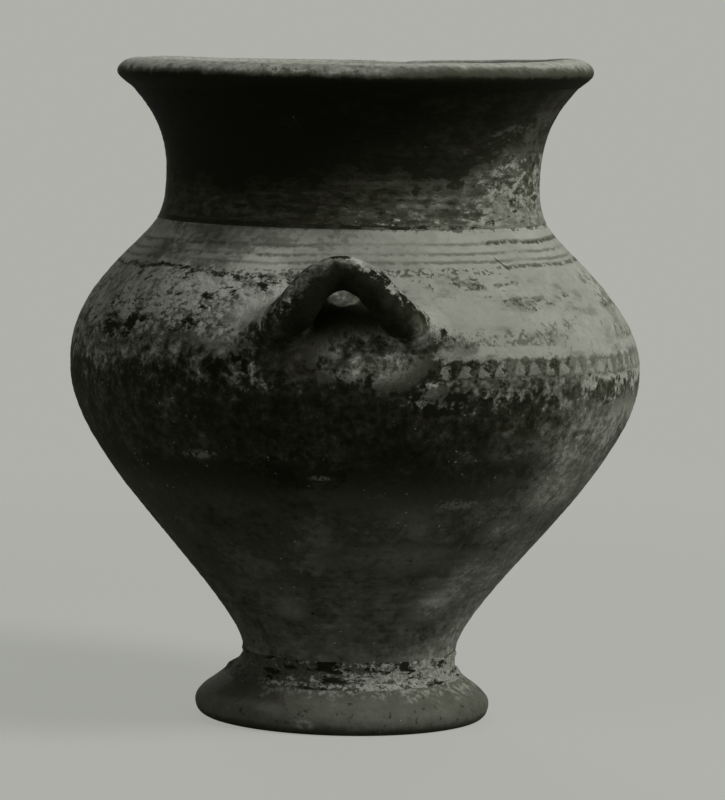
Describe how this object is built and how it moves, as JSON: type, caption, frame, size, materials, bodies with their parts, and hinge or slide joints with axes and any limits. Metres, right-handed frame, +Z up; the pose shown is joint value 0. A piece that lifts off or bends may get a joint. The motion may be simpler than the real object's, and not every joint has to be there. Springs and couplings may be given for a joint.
{
  "type": "bowl jar",
  "caption": "Wide-mouthed ceramic jar: flaring lip, concave neck, full shoulder with upright loop handles, body tapering to a ring foot. Holds and carries food or liquid.",
  "frame": {"origin": "centre of the jar's box on the surface that the foot stands on", "axes": "+Z up along the jar's axis, -Y towards the front handle, +X to the right as seen from the front"},
  "size_m": [0.2172, 0.2276, 0.2524],
  "materials": {
    "clay": "matt fired clay, wiped and smoked",
    "dark_slip": "worn dark slip paint",
    "pale_slip": "chalky pale slip with painted lines",
    "luting": "dried luting slip"
  },
  "bodies": {
    "root": {"foot": "clay", "foot_lute": "luting", "lower_body": "clay", "belly_lute": "luting", "shoulder": "pale_slip", "neck_lute": "luting", "neck": "dark_slip", "lip_lute": "luting", "lip": "pale_slip", "front_handle": "dark_slip", "front_handle_left_collar": "clay", "front_handle_right_collar": "clay", "back_handle": "dark_slip", "back_handle_left_collar": "clay", "back_handle_right_collar": "clay"}
  },
  "joints": []
}
